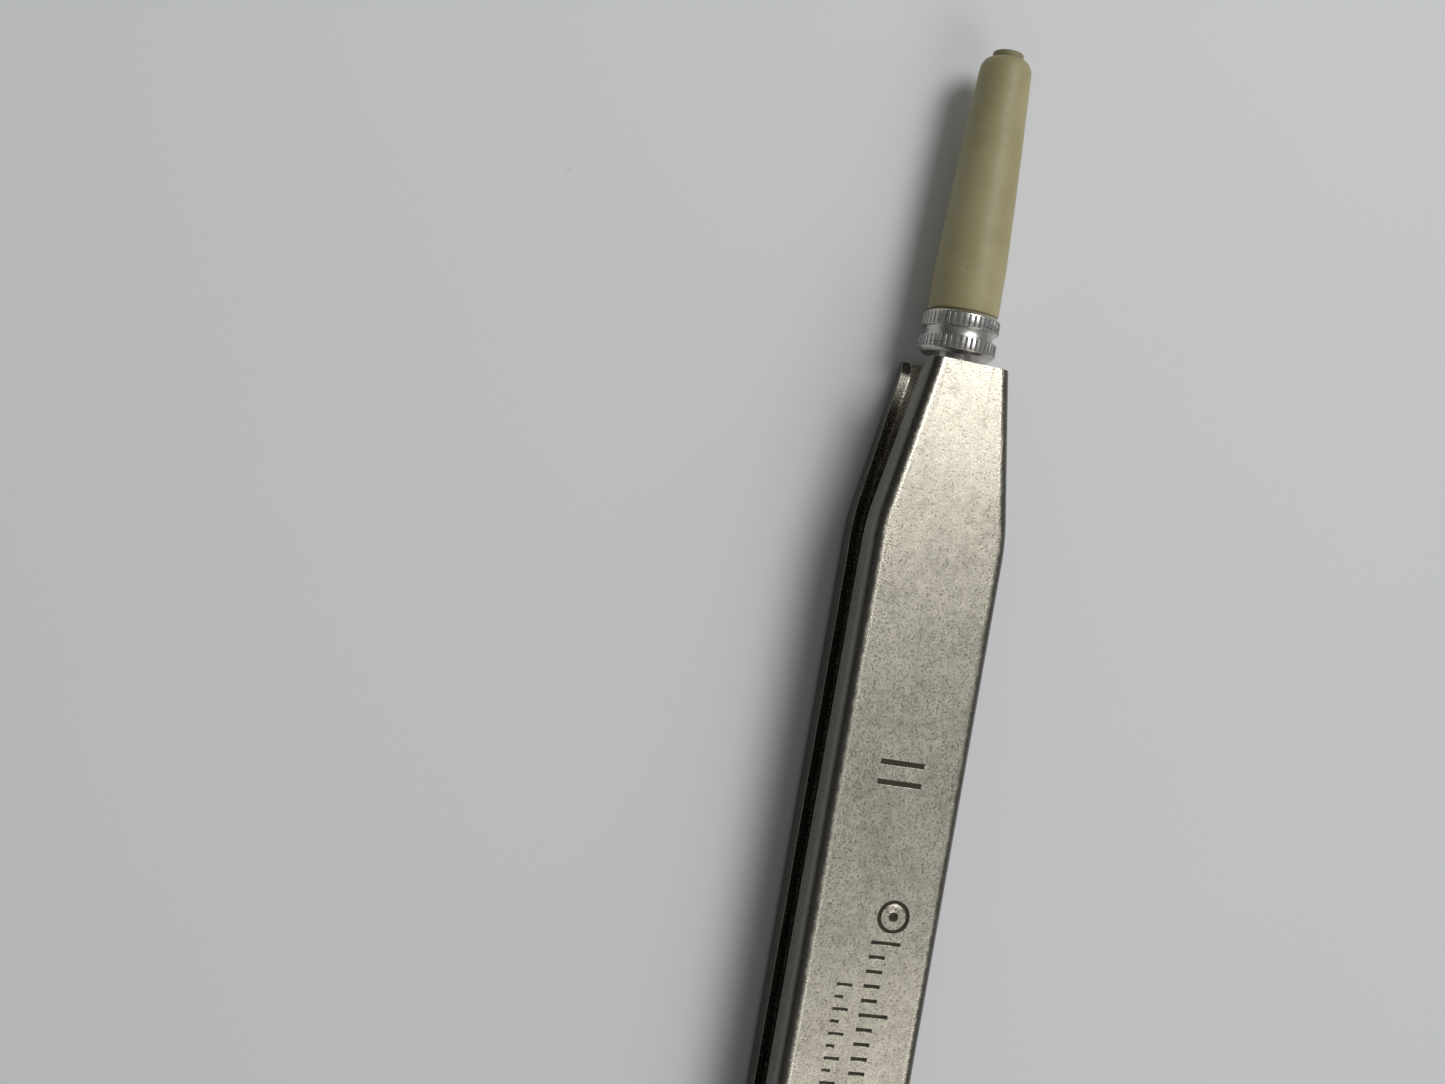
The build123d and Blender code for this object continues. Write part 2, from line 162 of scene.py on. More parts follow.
class LifterNose(bpy.types.PropertyGroup):
    base_radius: bpy.props.FloatProperty(
        name="Base radius", description="Radius of the nose behind its taper",
        unit="LENGTH", default=2.35 * MM)
    shoulder_radius: bpy.props.FloatProperty(
        name="Shoulder radius", description="Radius of the nose where its round shoulder starts",
        unit="LENGTH", default=1.72 * MM)
    shoulder_length: bpy.props.FloatProperty(
        name="Shoulder length", description="Length of the round shoulder",
        unit="LENGTH", default=0.95 * MM)
    lip_radius: bpy.props.FloatProperty(
        name="Lip radius", description="Radius of the lip around the claws",
        unit="LENGTH", default=1.02 * MM)
    lip_length: bpy.props.FloatProperty(
        name="Lip length", description="How far the lip stands past the shoulder",
        unit="LENGTH", default=0.42 * MM)
    taper_length: bpy.props.FloatProperty(
        name="Taper length", description="Length of the taper",
        unit="LENGTH", default=13.5 * MM)
    bore_radius: bpy.props.FloatProperty(
        name="Bore radius", description="Radius of the bore that the claws slide in",
        unit="LENGTH", default=0.72 * MM)
    seam_height: bpy.props.FloatProperty(
        name="Seam height", description="How far the mould seam stands proud",
        unit="LENGTH", default=0.02 * MM)
    turns: bpy.props.IntProperty(
        name="Facets", description="Steps around the nose", default=128, min=16)


class LifterKnurl(bpy.types.PropertyGroup):
    count: bpy.props.IntProperty(
        name="Ridges", description="Ridges around each band of the ferrule", default=44, min=8)
    ridge_size: bpy.props.FloatProperty(
        name="Ridge size", description="Radius of one ridge's section",
        unit="LENGTH", default=0.11 * MM)
    band_length: bpy.props.FloatProperty(
        name="Band length", description="Length of each ridged band",
        unit="LENGTH", default=0.78 * MM)


class LifterStage(bpy.types.PropertyGroup):
    camera_place: bpy.props.FloatVectorProperty(
        name="Camera place", description="Where the camera stands", subtype="XYZ", unit="LENGTH",
        size=3, default=(0.024218, 0.036020, 0.097054))
    camera_turn: bpy.props.FloatVectorProperty(
        name="Camera turn", description="How the camera is turned, in XYZ order", subtype="EULER",
        size=3, default=tuple(math.radians(a) for a in (-2.586, -13.331, -79.709)))
    lens: bpy.props.FloatProperty(
        name="Lens", description="Focal length in millimetres on a 36 mm sensor", default=37.37)
    key_power: bpy.props.FloatProperty(
        name="Key power", description="Power of the soft light on the right",
        unit="POWER", default=1.5)
    tail_power: bpy.props.FloatProperty(
        name="Tail power", description="Power of the soft light above the tail",
        unit="POWER", default=0.68)


# ---------------------------------------------------------------- shader groups


def new_group(name, inputs, outputs):
    """A shader node group with named value inputs and outputs, and its two ends."""
    group = bpy.data.node_groups.new(name, "ShaderNodeTree")
    for label, kind, default in inputs:
        socket = group.interface.new_socket(label, in_out="INPUT", socket_type=kind)
        if default is not None:
            socket.default_value = default
    for label, kind in outputs:
        group.interface.new_socket(label, in_out="OUTPUT", socket_type=kind)
    return group, group.nodes.new("NodeGroupInput"), group.nodes.new("NodeGroupOutput")


def feed(tree, socket, value):
    """Gives a socket a number, or links another node's output to it."""
    if isinstance(value, (int, float)):
        socket.default_value = value
    else:
        tree.links.new(value, socket)


def math_node(tree, operation, *values):
    node = tree.nodes.new("ShaderNodeMath")
    node.operation = operation
    for socket, value in zip(node.inputs, values):
        feed(tree, socket, value)
    return node.outputs[0]


def noise_node(tree, vector, scale, detail, roughness):
    node = tree.nodes.new("ShaderNodeTexNoise")
    tree.links.new(vector, node.inputs["Vector"])
    feed(tree, node.inputs["Scale"], scale)
    node.inputs["Detail"].default_value = detail
    node.inputs["Roughness"].default_value = roughness
    return node.outputs["Fac"]


def range_node(tree, value, low, high, out_low=0.0, out_high=1.0, smooth=True):
    """Maps a value from low..high to out_low..out_high, held at both ends."""
    node = tree.nodes.new("ShaderNodeMapRange")
    if smooth:
        node.interpolation_type = "SMOOTHSTEP"
    tree.links.new(value, node.inputs["Value"])
    for label, number in (("From Min", low), ("From Max", high),
                          ("To Min", out_low), ("To Max", out_high)):
        feed(tree, node.inputs[label], number)
    return node.outputs["Result"]


def stretched(tree, vector, scale):
    node = tree.nodes.new("ShaderNodeVectorMath")
    node.operation = "MULTIPLY"
    tree.links.new(vector, node.inputs[0])
    node.inputs[1].default_value = scale
    return node.outputs["Vector"]


def grain_group():
    """Tumbled metal grain: fine pits, long faint scratches and a slow change of tone."""
    group, start, end = new_group(
        "metal_grain",
        [("Vector", "NodeSocketVector", None), ("Pit Scale", "NodeSocketFloat", 7500.0),
         ("Scratch Scale", "NodeSocketFloat", 900.0),
         ("Tone Scale", "NodeSocketFloat", 260.0)],
        [("Pits", "NodeSocketFloat"), ("Scratches", "NodeSocketFloat"),
         ("Tone", "NodeSocketFloat")])
    vector = start.outputs["Vector"]
    pits = noise_node(group, vector, start.outputs["Pit Scale"], 4.0, 0.65)
    group.links.new(pits, end.inputs["Pits"])
    lean = group.nodes.new("ShaderNodeMapping")
    lean.inputs["Rotation"].default_value = (0.0, 0.0, 0.5)
    lean.inputs["Scale"].default_value = (0.12, 3.2, 1.0)
    group.links.new(vector, lean.inputs["Vector"])
    hair = noise_node(group, lean.outputs["Vector"], start.outputs["Scratch Scale"], 5.0, 0.7)
    group.links.new(range_node(group, hair, 0.56, 0.74), end.inputs["Scratches"])
    tone = noise_node(group, vector, start.outputs["Tone Scale"], 3.0, 0.5)
    group.links.new(range_node(group, tone, 0.3, 0.7), end.inputs["Tone"])
    return group


def speck_group():
    """Sparse small specks, as dust or dirt."""
    group, start, end = new_group(
        "fine_specks",
        [("Vector", "NodeSocketVector", None), ("Scale", "NodeSocketFloat", 400.0),
         ("Size", "NodeSocketFloat", 0.06)],
        [("Mask", "NodeSocketFloat")])
    cells = group.nodes.new("ShaderNodeTexVoronoi")
    group.links.new(start.outputs["Vector"], cells.inputs["Vector"])
    group.links.new(start.outputs["Scale"], cells.inputs["Scale"])
    size = math_node(group, "MULTIPLY", start.outputs["Size"], 0.4)
    near = range_node(group, cells.outputs["Distance"], start.outputs["Size"], size)
    split = group.nodes.new("ShaderNodeSeparateColor")
    group.links.new(cells.outputs["Color"], split.inputs["Color"])
    some = math_node(group, "GREATER_THAN", split.outputs[0], SPECK_THRESHOLD)
    group.links.new(math_node(group, "MULTIPLY", near, some), end.inputs["Mask"])
    return group


# ---------------------------------------------------------------- materials


def shader_group(name):
    builders = {"metal_grain": grain_group, "fine_specks": speck_group}
    return bpy.data.node_groups.get(name) or builders[name]()


def new_material(name):
    """A material with its Principled shader and an Object coordinate vector."""
    material = bpy.data.materials.new(name)
    material.use_nodes = True
    tree = material.node_tree
    shader = tree.nodes["Principled BSDF"]
    place = tree.nodes.new("ShaderNodeTexCoord").outputs["Object"]
    return material, tree, shader, place


def use_group(tree, name, place, **values):
    node = tree.nodes.new("ShaderNodeGroup")
    node.node_tree = shader_group(name)
    tree.links.new(place, node.inputs["Vector"])
    for label, value in values.items():
        node.inputs[label.replace("_", " ")].default_value = value
    return node


def mixed(tree, factor, first, second):
    """A colour mix; first and second are colours or colour outputs."""
    node = tree.nodes.new("ShaderNodeMix")
    node.data_type = "RGBA"
    tree.links.new(factor, node.inputs["Factor"])
    for socket, value in ((node.inputs[6], first), (node.inputs[7], second)):
        if hasattr(value, "is_linked"):
            tree.links.new(value, socket)
        else:
            socket.default_value = (*value, 1.0)
    return node.outputs[2]


def bump(tree, shader, height, distance, strength):
    node = tree.nodes.new("ShaderNodeBump")
    node.inputs["Distance"].default_value = distance
    node.inputs["Strength"].default_value = strength
    tree.links.new(height, node.inputs["Height"])
    tree.links.new(node.outputs["Normal"], shader.inputs["Normal"])


def shaded(colour, factor):
    return tuple(min(1.0, c * factor) for c in colour)


def dress_metal(tree, shader, tone, rough):
    """Joins a metal's tone and roughness to its shader."""
    shader.inputs["Metallic"].default_value = 1.0
    tree.links.new(tone, shader.inputs["Base Color"])
    tree.links.new(rough, shader.inputs["Roughness"])


def past_flat(tree, spot, patches):
    """How far a point lies outside the arm's flat face, with a border that wavers a little."""
    half = range_node(tree, spot.outputs["X"], ARM_FRONT_X - ARM_TAPER_LENGTH, ARM_FRONT_X,
                      ARM_HALF_WIDTH - BEND_RADIUS, ARM_FRONT_HALF_WIDTH - BEND_RADIUS,
                      smooth=False)
    across = math_node(tree, "ABSOLUTE", spot.outputs["Y"])
    past = math_node(tree, "SUBTRACT", across, half)
    return math_node(tree, "MULTIPLY_ADD", patches, -0.08 * MM, past)


def mark_dirt(tree, spot, past):
    """Where dirt lies in a stamped mark: inside the flat face and a little below it."""
    under = range_node(tree, spot.outputs["Z"], FACE_Z - 0.015 * MM, FACE_Z - 0.05 * MM)
    flat = math_node(tree, "LESS_THAN", past, -0.1 * MM)
    above = math_node(tree, "GREATER_THAN", spot.outputs["Z"], FACE_Z - 0.2 * MM)
    return math_node(tree, "MULTIPLY", math_node(tree, "MULTIPLY", under, flat), above)


def satin_sheet(name, colour, marks=False):
    """Folded stainless sheet: satin, warm grey and pitted, with painted shade on its bends and
    walls, and ridges brightened by wear and by a painted highlight on the left.

    With marks, dirt lies in the stamped marks.
    """
    material, tree, shader, place = new_material(name)
    grain = use_group(tree, "metal_grain", place)
    tone = mixed(tree, grain.outputs["Tone"], shaded(colour, 0.80), shaded(colour, 1.04))
    patches = range_node(tree, noise_node(tree, place, 1700.0, 4.0, 0.7), 0.38, 0.64)
    tone = mixed(tree, math_node(tree, "MULTIPLY", patches, 0.65), tone, shaded(colour, 1.25))
    pitted = range_node(tree, grain.outputs["Pits"], 0.47, 0.33)
    pit_colour = (colour[0] * 0.50, colour[1] * 0.45, colour[2] * 0.38)
    tone = mixed(tree, pitted, tone, pit_colour)
    rough = range_node(tree, grain.outputs["Pits"], 0.3, 0.7, 0.21, 0.37)

    spot = tree.nodes.new("ShaderNodeSeparateXYZ")
    tree.links.new(place, spot.inputs[0])
    past = past_flat(tree, spot, patches)
    # Painted shade: the bends and side walls past the flat face are darkened, standing in for the
    # dark room that they reflect.
    painted_bend_shade = range_node(tree, past, 0.06 * MM, 0.30 * MM)
    tone = mixed(tree, math_node(tree, "MULTIPLY", painted_bend_shade, 0.9), tone, shaded(colour, 0.24))
    # Partly wear and partly a painted highlight: the ridge along the flat face's edge is
    # brightened, fully on the left (+Y) where the light reflects and only a little on the right.
    off_ridge = math_node(tree, "ABSOLUTE", past)
    ridge = range_node(tree, off_ridge, 0.14 * MM, 0.03 * MM)
    lit_side = range_node(tree, spot.outputs["Y"], -MM, MM, 0.2, 1.0)
    wear_and_painted_highlight = math_node(tree, "MULTIPLY", ridge, lit_side)
    tone = mixed(tree, wear_and_painted_highlight, tone, shaded(colour, 1.75))
    rough = math_node(tree, "MULTIPLY_ADD", ridge, -0.08, rough)
    if marks:
        dirt = mark_dirt(tree, spot, past)
        patina = tuple(bpy.context.scene.lifter_finish.patina_colour)
        tone = mixed(tree, dirt, tone, patina)
        rough = math_node(tree, "ADD", rough, math_node(tree, "MULTIPLY", dirt, 0.25))
    scratch = math_node(tree, "MULTIPLY", grain.outputs["Scratches"], -0.07)
    dress_metal(tree, shader, tone, math_node(tree, "ADD", rough, scratch))
    height = math_node(tree, "MULTIPLY_ADD", grain.outputs["Scratches"], -0.6,
                       grain.outputs["Pits"])
    bump(tree, shader, height, 0.02 * MM, 0.7)
    return material


def burnished_edge():
    """Worn, brighter metal along broken edges."""
    colour = tuple(bpy.context.scene.lifter_finish.steel_colour)
    material, tree, shader, place = new_material("burnished_edge")
    grain = use_group(tree, "metal_grain", place, Pit_Scale=5200.0)
    tone = mixed(tree, grain.outputs["Tone"], shaded(colour, 1.08), shaded(colour, 1.25))
    dress_metal(tree, shader, tone, range_node(tree, grain.outputs["Pits"], 0.3, 0.7, 0.2, 0.32))
    bump(tree, shader, grain.outputs["Pits"], 0.006 * MM, 0.5)
    return material


def milled_steel():
    """Milled bar: darker, with close cutter lines across it."""
    material, tree, shader, place = new_material("milled_steel")
    grain = use_group(tree, "metal_grain", place, Pit_Scale=5200.0, Tone_Scale=420.0)
    lines = tree.nodes.new("ShaderNodeTexWave")
    lines.bands_direction = "X"
    lines.inputs["Scale"].default_value = 1500.0
    lines.inputs["Distortion"].default_value = 1.5
    lines.inputs["Detail"].default_value = 2.0
    tree.links.new(place, lines.inputs["Vector"])
    tone = mixed(tree, grain.outputs["Tone"], (0.36, 0.345, 0.32), (0.48, 0.465, 0.44))
    dress_metal(tree, shader, tone, range_node(tree, lines.outputs["Fac"], 0.0, 1.0, 0.34, 0.48))
    height = math_node(tree, "MULTIPLY_ADD", grain.outputs["Pits"], 0.5, lines.outputs["Fac"])
    bump(tree, shader, height, 0.008 * MM, 0.5)
    return material


def turned_steel():
    """Turned steel: fine lathe rings around the tool's axis."""
    material, tree, shader, place = new_material("lathe_turned_steel")
    grain = use_group(tree, "metal_grain", place, Tone_Scale=500.0)
    rings = noise_node(tree, stretched(tree, place, (1.0, 0.02, 0.02)), 9000.0, 3.0, 0.7)
    tone = mixed(tree, grain.outputs["Tone"], (0.52, 0.505, 0.475), (0.62, 0.605, 0.575))
    tone = mixed(tree, range_node(tree, rings, 0.46, 0.32), tone, (0.33, 0.32, 0.30))
    dress_metal(tree, shader, tone, range_node(tree, rings, 0.3, 0.7, 0.22, 0.36))
    bump(tree, shader, rings, 0.008 * MM, 0.5)
    return material


def polished_pin():
    """Ground and polished pin ends, with a few fine pits."""
    material, tree, shader, place = new_material("polished_pin")
    grain = use_group(tree, "metal_grain", place, Pit_Scale=6500.0, Tone_Scale=700.0)
    tone = mixed(tree, grain.outputs["Tone"], (0.60, 0.585, 0.55), (0.70, 0.69, 0.66))
    dress_metal(tree, shader, tone, range_node(tree, grain.outputs["Pits"], 0.3, 0.7, 0.16, 0.28))
    bump(tree, shader, grain.outputs["Pits"], 0.005 * MM, 0.5)
    return material


def spring_leaf():
    """Tempered spring steel: grey with a faint straw and blue bloom, rolled along its length."""
    material, tree, shader, place = new_material("spring_leaf")
    grain = use_group(tree, "metal_grain", place, Tone_Scale=330.0)
    rolled = noise_node(tree, stretched(tree, place, (0.05, 1.0, 1.0)), 8000.0, 3.0, 0.6)
    tone = mixed(tree, grain.outputs["Tone"], (0.36, 0.37, 0.40), (0.46, 0.43, 0.37))
    dress_metal(tree, shader, tone, range_node(tree, rolled, 0.3, 0.7, 0.22, 0.38))
    bump(tree, shader, rolled, 0.006 * MM, 0.5)
    return material


def cream_moulding():
    """Aged cream plastic: soft, slightly translucent, handled and speckled."""
    colour = tuple(bpy.context.scene.lifter_finish.cream_colour)
    material, tree, shader, place = new_material("cream_moulding")
    grain = use_group(tree, "metal_grain", place,
                      Pit_Scale=3600.0, Scratch_Scale=1300.0, Tone_Scale=380.0)
    specks = use_group(tree, "fine_specks", place, Scale=520.0, Size=0.075)
    aged = mixed(tree, grain.outputs["Tone"], shaded(colour, 0.92),
                 (colour[0] * 1.05, colour[1] * 1.06, colour[2] * 1.12))
    spot = tree.nodes.new("ShaderNodeSeparateXYZ")
    tree.links.new(place, spot.inputs[0])
    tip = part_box("nose_sleeve")[1].x
    handled = range_node(tree, spot.outputs["X"], tip - 0.9 * MM, tip)
    aged = mixed(tree, math_node(tree, "MULTIPLY", handled, 0.55), aged, (0.16, 0.15, 0.085))
    speckled = math_node(tree, "MULTIPLY", specks.outputs["Mask"], 0.6)
    aged = mixed(tree, speckled, aged, (0.10, 0.085, 0.05))
    tree.links.new(aged, shader.inputs["Base Color"])
    shader.inputs["Subsurface Weight"].default_value = 0.25
    shader.inputs["Subsurface Radius"].default_value = (1.0, 0.75, 0.4)
    shader.inputs["Subsurface Scale"].default_value = 0.5 * MM
    shader.inputs["IOR"].default_value = 1.46
    rough = range_node(tree, grain.outputs["Pits"], 0.3, 0.7, 0.42, 0.56)
    tree.links.new(rough, shader.inputs["Roughness"])
    height = math_node(tree, "MULTIPLY_ADD", grain.outputs["Scratches"], -0.6,
                       grain.outputs["Pits"])
    bump(tree, shader, height, 0.01 * MM, 0.45)
    return material


def pale_table():
    """Plain pale laminate with the faintest mottling and a few specks of dust."""
    colour = tuple(bpy.context.scene.lifter_finish.table_colour)
    material, tree, shader, place = new_material("pale_table")
    slow = noise_node(tree, place, 18.0, 3.0, 0.5)
    specks = use_group(tree, "fine_specks", place, Scale=42.0, Size=0.022)
    tone = mixed(tree, slow, shaded(colour, 0.975), shaded(colour, 1.02))
    dusty = math_node(tree, "MULTIPLY", specks.outputs["Mask"], 0.35)
    tone = mixed(tree, dusty, tone, (0.30, 0.29, 0.28))
    tree.links.new(tone, shader.inputs["Base Color"])
    shader.inputs["Roughness"].default_value = 0.62
    bump(tree, shader, noise_node(tree, place, 1800.0, 3.0, 0.6), 0.01 * MM, 0.25)
    return material


def finish_material(name):
    """The named finish, made the first time that it is asked for."""
    found = bpy.data.materials.get(name)
    if found:
        return found
    steel = tuple(bpy.context.scene.lifter_finish.steel_colour)
    builders = {
        "marked_sheet_steel": lambda: satin_sheet("marked_sheet_steel", steel, marks=True),
        "plain_sheet_steel": lambda: satin_sheet("plain_sheet_steel", shaded(steel, 0.96)),
        "burnished_edge": burnished_edge,
        "milled_steel": milled_steel,
        "lathe_turned_steel": turned_steel,
        "polished_pin": polished_pin,
        "spring_leaf": spring_leaf,
        "cream_moulding": cream_moulding,
        "pale_table": pale_table,
    }
    return builders[name]()


# ---------------------------------------------------------------- mesh helpers


def add_object(name, mesh):
    piece = bpy.data.objects.new(name, mesh)
    bpy.context.scene.collection.objects.link(piece)
    return piece


def frozen(piece):
    """The piece with its modifiers applied to a plain mesh."""
    graph = bpy.context.evaluated_depsgraph_get()
    done = bpy.data.meshes.new_from_object(
        piece.evaluated_get(graph), preserve_all_data_layers=True, depsgraph=graph)
    piece.modifiers.clear()
    piece.data = done
    return piece


def broken_edge_copy(node, name, edge_width):
    """A copy of a CAD node with merged points, clean flats and softly broken edges."""
    form = bmesh.new()
    form.from_mesh(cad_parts[node].data)
    bmesh.ops.remove_doubles(form, verts=form.verts, dist=MERGE_DISTANCE)
    bmesh.ops.dissolve_limit(form, angle_limit=FLAT_ANGLE, verts=form.verts, edges=form.edges)
    for face in form.faces:
        face.smooth = True
    mesh = bpy.data.meshes.new(name)
    form.to_mesh(mesh)
    form.free()
    piece = add_object(name, mesh)
    edge = piece.modifiers.new("broken_edge", "BEVEL")
    edge.width = edge_width * MM
    edge.segments = EDGE_SEGMENTS
    edge.limit_method = "ANGLE"
    edge.angle_limit = EDGE_ANGLE
    edge.material = 1
    edge.use_clamp_overlap = True
    flats = piece.modifiers.new("flat_normals", "WEIGHTED_NORMAL")
    flats.weight = FLAT_NORMAL_WEIGHT
    piece.data.materials.append(None)
    piece.data.materials.append(None)
    return frozen(piece)


def fit_piece(piece, node, body):
    """Puts the piece on its body in place of its CAD node; a leaf keeps its place with its
    transform baked in, on no body.
    """
    if node in LEAF_ARMS:
        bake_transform(piece)
    else:
        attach(piece, body)
    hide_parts(node)


def lathe(name, profile, turns, offset):
    """A closed ring swept about the tool's axis from a closed profile of x, radius points."""
    form = bmesh.new()
    rings = []
    for step in range(turns):
        angle = 2 * math.pi * step / turns
        ring = []
        for x, radius in profile:
            reach = radius + offset(x, radius, angle)
            point = Vector((x, reach * math.cos(angle), AXIS_Z + reach * math.sin(angle)))
            ring.append(form.verts.new(point))
        rings.append(ring)
    for step in range(turns):
        here, there = rings[step], rings[(step + 1) % turns]
        for k in range(len(profile)):
            n = (k + 1) % len(profile)
            form.faces.new((here[k], here[n], there[n], there[k]))
    bmesh.ops.recalc_face_normals(form, faces=form.faces)
    mesh = bpy.data.meshes.new(name)
    form.to_mesh(mesh)
    form.free()
    return add_object(name, mesh)


def arc_points(centre_x, centre_r, size_x, size_r, start, end, steps):
    """Points of an elliptical arc between two angles in degrees, both ends included."""
    points = []
    for step in range(steps + 1):
        angle = math.radians(start + (end - start) * step / steps)
        points.append((centre_x + size_x * math.cos(angle),
                       centre_r + size_r * math.sin(angle)))
    return points


def nose_profile(nose):
    """The moulded nose's closed half section, from its rear bore round the outside and back."""
    low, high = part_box("nose_sleeve")
    rear, tip = low.x, high.x
    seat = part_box("neck_tube")[1]
    lip_x = tip - nose.lip_length
    shoulder_x = lip_x - nose.shoulder_length
    taper_x = shoulder_x - nose.taper_length
    neck = nose.lip_radius - LIP_UNDERCUT
    points = [(rear, seat.y + NOSE_SEAT_EASE)]
    points += arc_points(rear + NOSE_REAR_ROUND, nose.base_radius - NOSE_REAR_ROUND,
                         NOSE_REAR_ROUND, NOSE_REAR_ROUND, 180, 90, 6)
    for step in range(1, NOSE_TAPER_STEPS + 1):
        along = step / NOSE_TAPER_STEPS
        radius = nose.base_radius + (nose.shoulder_radius - nose.base_radius) * along
        crown = NOSE_CROWN * math.sin(math.pi * along)
        points.append((taper_x + (shoulder_x - taper_x) * along, radius + crown))
    dome = arc_points(shoulder_x, neck, nose.shoulder_length, nose.shoulder_radius - neck,
                      90, 0, 14)
    points += dome[1:]
    points.append((lip_x + 0.06 * MM, neck))
    points.append((lip_x + 0.14 * MM, nose.lip_radius - 0.015 * MM))
    points += arc_points(tip - LIP_ROUND, nose.lip_radius - LIP_ROUND,
                         LIP_ROUND, LIP_ROUND, 80, 0, 6)
    points += arc_points(tip - BORE_ROUND, nose.bore_radius + BORE_ROUND,
                         BORE_ROUND, -BORE_ROUND, 0, 90, 4)
    points += [(seat.x, nose.bore_radius), (seat.x, seat.y)]
    points.append((rear + NOSE_SEAT_EASE, seat.y))
    return points


# ---------------------------------------------------------------- geometry nodes


def knurl_tree():
    """Two bands of ridges around the tool's axis, with named inputs for every size."""
    tree = bpy.data.node_groups.new("ferrule_knurl", "GeometryNodeTree")
    for label, kind, default in (
        ("Count", "NodeSocketInt", 44), ("Radius", "NodeSocketFloat", 0.0025),
        ("Ridge Size", "NodeSocketFloat", 0.0001), ("Band Length", "NodeSocketFloat", 0.0008),
        ("First Band", "NodeSocketFloat", 0.0), ("Second Band", "NodeSocketFloat", 0.001),
        ("Axis Height", "NodeSocketFloat", 0.0), ("Material", "NodeSocketMaterial", None),
    ):
        socket = tree.interface.new_socket(label, in_out="INPUT", socket_type=kind)
        if default is not None:
            socket.default_value = default
    tree.interface.new_socket("Geometry", in_out="OUTPUT", socket_type="NodeSocketGeometry")
    start = tree.nodes.new("NodeGroupInput")
    end = tree.nodes.new("NodeGroupOutput")
    link = tree.links.new

    ring = tree.nodes.new("GeometryNodeMeshCircle")
    link(start.outputs["Count"], ring.inputs["Vertices"])
    link(start.outputs["Radius"], ring.inputs["Radius"])
    ridge = tree.nodes.new("GeometryNodeMeshCylinder")
    ridge.inputs["Vertices"].default_value = 6
    link(start.outputs["Ridge Size"], ridge.inputs["Radius"])
    link(start.outputs["Band Length"], ridge.inputs["Depth"])
    spread = tree.nodes.new("GeometryNodeInstanceOnPoints")
    link(ring.outputs["Mesh"], spread.inputs["Points"])
    link(ridge.outputs["Mesh"], spread.inputs["Instance"])
    join = tree.nodes.new("GeometryNodeJoinGeometry")
    for band in ("First Band", "Second Band"):
        place = tree.nodes.new("ShaderNodeCombineXYZ")
        link(start.outputs[band], place.inputs["X"])
        link(start.outputs["Axis Height"], place.inputs["Z"])
        turn = tree.nodes.new("GeometryNodeTransform")
        turn.inputs["Rotation"].default_value = (0.0, math.radians(90), 0.0)
        link(spread.outputs["Instances"], turn.inputs["Geometry"])
        link(place.outputs["Vector"], turn.inputs["Translation"])
        link(turn.outputs["Geometry"], join.inputs["Geometry"])
    real = tree.nodes.new("GeometryNodeRealizeInstances")
    link(join.outputs["Geometry"], real.inputs["Geometry"])
    finish = tree.nodes.new("GeometryNodeSetMaterial")
    link(real.outputs["Geometry"], finish.inputs["Geometry"])
    link(start.outputs["Material"], finish.inputs["Material"])
    link(finish.outputs["Geometry"], end.inputs["Geometry"])
    return tree


def set_inputs(modifier, tree, values):
    """Sets a Geometry Nodes modifier's inputs by their sockets' identifiers."""
    for item in tree.interface.items_tree:
        if item.item_type == "SOCKET" and item.in_out == "INPUT" and item.name in values:
            modifier[item.identifier] = values[item.name]


# ---------------------------------------------------------------- operators


class LIFTER_OT_stage(bpy.types.Operator):
    """Lays the pale table and sets the lights and the camera"""

    bl_idname = "lifter.stage"
    bl_label = "Table, lights and camera"

    def execute(self, context):
        stage = context.scene.lifter_stage
        self.table()
        self.soft_light("key_light", stage.key_power, KEY_SIZE, KEY_PLACE)
        self.soft_light("tail_light", stage.tail_power, TAIL_SIZE, TAIL_PLACE)
        self.room(context)
        context.scene.view_settings.view_transform = "Standard"
        self.camera(context, stage)
        return {"FINISHED"}

    def room(self, context):
        """A dim room that is lighter overhead on the right and dark on the left."""
        world = bpy.data.worlds.new("soft_room")
        world.use_nodes = True
        tree = world.node_tree
        back = tree.nodes["Background"]
        lean = tree.nodes.new("ShaderNodeVectorMath")
        lean.operation = "DOT_PRODUCT"
        lean.inputs[1].default_value = ROOM_LEAN
        tree.links.new(tree.nodes.new("ShaderNodeTexCoord").outputs["Generated"], lean.inputs[0])
        back.inputs["Color"].default_value = ROOM_COLOUR
        strength = range_node(tree, lean.outputs["Value"], -0.4, 1.0, ROOM_DARK, ROOM_LIGHT)
        tree.links.new(strength, back.inputs["Strength"])
        context.scene.world = world

    def table(self):
        form = bmesh.new()
        bmesh.ops.create_grid(
            form, x_segments=TABLE_CELLS, y_segments=TABLE_CELLS, size=TABLE_REACH)
        for point in form.verts:
            point.co.z = -TABLE_DROP
        mesh = bpy.data.meshes.new("table_top")
        form.to_mesh(mesh)
        form.free()
        top = add_object("table_top", mesh)
        top.data.materials.append(finish_material("pale_table"))

    def soft_light(self, name, power, size, place):
        lamp = bpy.data.lights.new(name, "AREA")
        lamp.energy = power
        lamp.shape = "DISK"
        lamp.size = size
        light = bpy.data.objects.new(name, lamp)
        bpy.context.scene.collection.objects.link(light)
        light.location = place
        aim = LIGHT_AIM - Vector(place)
        light.rotation_euler = aim.to_track_quat("-Z", "Y").to_euler()

    def camera(self, context, stage):
        lens = bpy.data.cameras.new("bench_camera")
        lens.lens = stage.lens
        lens.sensor_width = SENSOR_WIDTH
        lens.sensor_fit = "HORIZONTAL"
        lens.clip_start = CLIP_NEAR
        lens.clip_end = CLIP_FAR
        camera = bpy.data.objects.new("bench_camera", lens)
        context.scene.collection.objects.link(camera)
        camera.location = stage.camera_place
        camera.rotation_euler = Euler(stage.camera_turn, "XYZ")
        context.scene.camera = camera


